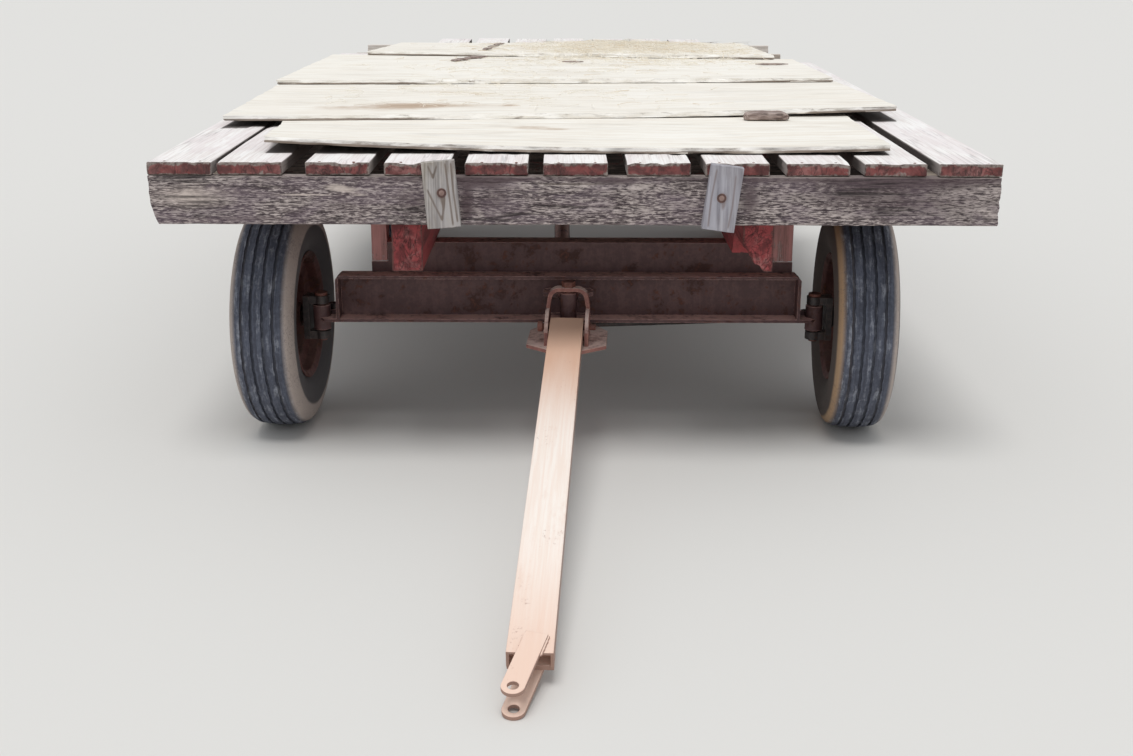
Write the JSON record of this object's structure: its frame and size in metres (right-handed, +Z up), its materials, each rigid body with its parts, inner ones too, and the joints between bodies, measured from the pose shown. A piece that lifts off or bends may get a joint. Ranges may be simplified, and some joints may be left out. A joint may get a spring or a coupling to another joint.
{
  "type": "flatbed hay wagon",
  "caption": "Flatbed hay wagon with a plank deck, timber sills, automotive-steer running gear, pneumatic ribbed tyres and a drop tongue with a clevis hitch.",
  "frame": {"origin": "on the ground under the middle of the overall length and width", "axes": "+Z up, -Y towards the tongue, +X to the right of someone facing the front of the wagon"},
  "size_m": [2.438, 6.2925, 1.004],
  "materials": {
    "bleached_boards": "bare, sun-bleached and split",
    "weathered_timber": "bare, grey-brown, deeply weathered",
    "grey_timber": "bare, silver grey",
    "red_painted_timber": "faded flaking red paint",
    "tyre_rubber": "dusty, worn ribs",
    "wheel_paint": "dull dark red over rust",
    "tongue_paint": "chalky salmon, scuffed",
    "rusty_steel": "rusted",
    "gear_paint": "dark red paint gone brown with rust"
  },
  "bodies": {
    "root": {"cleat_left": "grey_timber", "cleat_right": "grey_timber", "cross_joists": "weathered_timber", "deck_panel_1": "bleached_boards", "deck_panel_2": "bleached_boards", "deck_panel_3": "bleached_boards", "deck_panel_4": "bleached_boards", "deck_planks": "bleached_boards", "front_axle": "gear_paint", "front_bolster": "gear_paint", "front_header": "weathered_timber", "front_stakes": "red_painted_timber", "hound_left": "gear_paint", "hound_right": "gear_paint", "kingpin_left": "rusty_steel", "kingpin_right": "rusty_steel", "reach_collar": "gear_paint", "reach_pipe": "gear_paint", "reach_saddle": "gear_paint", "rear_axle": "gear_paint", "rear_bolster": "gear_paint", "rear_stakes": "red_painted_timber", "sill_left": "red_painted_timber", "sill_right": "red_painted_timber", "tail_header": "weathered_timber"},
    "steering_head": {"hinge_pin": "rusty_steel", "kingbolt": "rusty_steel", "steering_plate": "gear_paint", "yoke": "gear_paint"},
    "tongue": {"hitch_clevis": "tongue_paint", "tongue": "tongue_paint"},
    "knuckle_left": {"knuckle_left": "gear_paint"},
    "knuckle_right": {"knuckle_right": "gear_paint"},
    "tie_rod_left": {"tie_rod_left": "gear_paint"},
    "tie_rod_right": {"tie_rod_right": "gear_paint"},
    "wheel_front_left": {"hub_front_left": "gear_paint", "tyre_front_left": "tyre_rubber", "wheel_front_left": "wheel_paint"},
    "wheel_front_right": {"hub_front_right": "gear_paint", "tyre_front_right": "tyre_rubber", "wheel_front_right": "wheel_paint"},
    "wheel_rear_left": {"hub_rear_left": "gear_paint", "tyre_rear_left": "tyre_rubber", "wheel_rear_left": "wheel_paint"},
    "wheel_rear_right": {"hub_rear_right": "gear_paint", "tyre_rear_right": "tyre_rubber", "wheel_rear_right": "wheel_paint"}
  },
  "joints": [
    {"name": "steering", "type": "hinge", "parent": "root", "child": "steering_head", "pos_m": [-0.015, -1.361, 0.34], "axis": [0, 0, 1], "range_deg": [-22.9, 29.1]},
    {"name": "tongue_lift", "type": "hinge", "parent": "steering_head", "child": "tongue", "pos_m": [-0.02041, -1.46085, 0.396], "axis": [-0.9985, 0.0541, 0], "range_deg": [0, 56.5]},
    {"name": "knuckle_left_turn", "type": "hinge", "parent": "root", "child": "knuckle_left", "pos_m": [-0.818, -1.261, 0.366], "axis": [0, 0, 1], "range_deg": [-22.9, 29.1]},
    {"name": "tie_rod_left_swing", "type": "hinge", "parent": "steering_head", "child": "tie_rod_left", "pos_m": [-0.00418, -1.16129, 0.339], "axis": [0, 0, 1], "range_deg": [-29.1, 22.9]},
    {"name": "wheel_front_left_spin", "type": "hinge", "parent": "knuckle_left", "child": "wheel_front_left", "pos_m": [-0.94983, -1.19878, 0.366], "axis": [0.9985, -0.0541, 0], "continuous": true},
    {"name": "wheel_rear_left_spin", "type": "hinge", "parent": "root", "child": "wheel_rear_left", "pos_m": [-0.953, 1.844, 0.366], "axis": [1, 0, 0], "continuous": true},
    {"name": "knuckle_right_turn", "type": "hinge", "parent": "root", "child": "knuckle_right", "pos_m": [0.788, -1.261, 0.366], "axis": [0, 0, 1], "range_deg": [-22.9, 29.1]},
    {"name": "tie_rod_right_swing", "type": "hinge", "parent": "steering_head", "child": "tie_rod_right", "pos_m": [-0.00418, -1.16129, 0.339], "axis": [0, 0, 1], "range_deg": [-29.1, 22.9]},
    {"name": "wheel_front_right_spin", "type": "hinge", "parent": "knuckle_right", "child": "wheel_front_right", "pos_m": [0.92578, -1.21338, 0.366], "axis": [0.9985, -0.0541, 0], "continuous": true},
    {"name": "wheel_rear_right_spin", "type": "hinge", "parent": "root", "child": "wheel_rear_right", "pos_m": [0.923, 1.844, 0.366], "axis": [1, 0, 0], "continuous": true}
  ],
  "couplings": [
    {"joint": "knuckle_left_turn", "follows": "steering", "ratio": 1},
    {"joint": "tie_rod_left_swing", "follows": "steering", "ratio": -1},
    {"joint": "knuckle_right_turn", "follows": "steering", "ratio": 1},
    {"joint": "tie_rod_right_swing", "follows": "steering", "ratio": -1}
  ]
}
